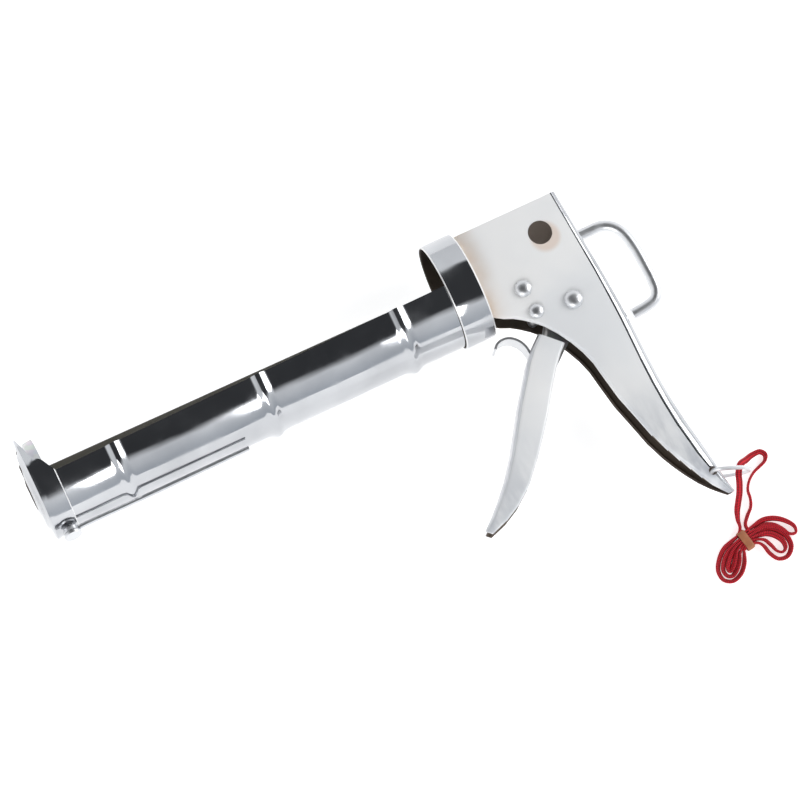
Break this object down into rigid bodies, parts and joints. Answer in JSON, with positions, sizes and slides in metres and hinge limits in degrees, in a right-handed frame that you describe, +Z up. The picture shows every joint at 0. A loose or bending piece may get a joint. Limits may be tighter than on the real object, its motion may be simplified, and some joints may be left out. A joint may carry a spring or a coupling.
{
  "type": "caulking gun",
  "caption": "Half-barrel caulking gun of plated sheet steel with ratchet rod, trigger, swing-out seal punch and a tied lanyard cord.",
  "frame": {"origin": "centre of the footprint of the gun without its cord, on the surface that it lies on", "axes": "+X rearward along the barrel, from the nozzle end to the handle; +Y towards the top of the gun; +Z up, out of the surface, which is the gun's left side"},
  "size_m": [0.34, 0.2165, 0.0566],
  "materials": {
    "chrome": "chrome-plated sheet, bright with fine rub marks",
    "chrome_rod": "chrome-plated round wire",
    "zinc_plate": "zinc-plated, satin",
    "bare_steel": "oiled steel",
    "red_cord": "braided flat cord",
    "tan_band": "tan elastic band"
  },
  "bodies": {
    "frame": {"cradle": "chrome", "front_cap": "chrome", "collar": "chrome", "handle": "chrome", "rod_guide_front": "zinc_plate", "rod_guide_rear": "zinc_plate", "trigger_pivot": "chrome", "pawl_rivet": "chrome", "spring_rivet": "chrome", "return_spring": "bare_steel", "punch_rivet": "chrome", "lanyard_ring": "chrome_rod", "cord_loop": "red_cord", "hank_lower": "red_cord", "hank_upper": "red_cord", "cord_band": "tan_band"},
    "trigger": {"trigger": "chrome", "trigger_lever": "zinc_plate", "drive_pawl_pin": "bare_steel"},
    "drive_pawl": {"drive_pawl": "bare_steel"},
    "holding_pawl": {"holding_pawl": "bare_steel"},
    "plunger": {"plunger_plate": "zinc_plate"},
    "rod": {"plunger_rod": "chrome_rod"},
    "seal_punch": {"seal_punch": "chrome_rod"}
  },
  "joints": [
    {"name": "trigger_squeeze", "type": "hinge", "parent": "frame", "child": "trigger", "pos_m": [0.11864, 0.03029, 0.02517], "axis": [0, -0.1028, 0.9947], "range_deg": [0, 30], "stiffness_Nm_per_rad": 0.4, "springref_deg": -17.19},
    {"name": "drive_pawl_swing", "type": "hinge", "parent": "trigger", "child": "drive_pawl", "pos_m": [0.11664, 0.047, 0.0269], "axis": [0, -0.1028, 0.9947], "range_deg": [-31, 1]},
    {"name": "holding_pawl_lift", "type": "hinge", "parent": "frame", "child": "holding_pawl", "pos_m": [0.09844, 0.04571, 0.02677], "axis": [0, -0.1028, 0.9947], "range_deg": [0, 12], "stiffness_Nm_per_rad": 0.05, "springref_deg": -11.46},
    {"name": "plunger_slide", "type": "slide", "parent": "frame", "child": "plunger", "axis": [1, 0, 0], "range_m": [0, 0.205]},
    {"name": "rod_turn", "type": "hinge", "parent": "plunger", "child": "rod", "pos_m": [0.07844, 0.06033, 0.02828], "axis": [-1, 0, 0], "range_deg": [0, 180]},
    {"name": "seal_punch_swing", "type": "hinge", "parent": "frame", "child": "seal_punch", "pos_m": [-0.15396, 0.031, 0.03457], "axis": [0, -0.9778, 0.2096], "range_deg": [0, 180]}
  ],
  "couplings": [
    {"joint": "drive_pawl_swing", "follows": "trigger_squeeze", "ratio": -1}
  ]
}
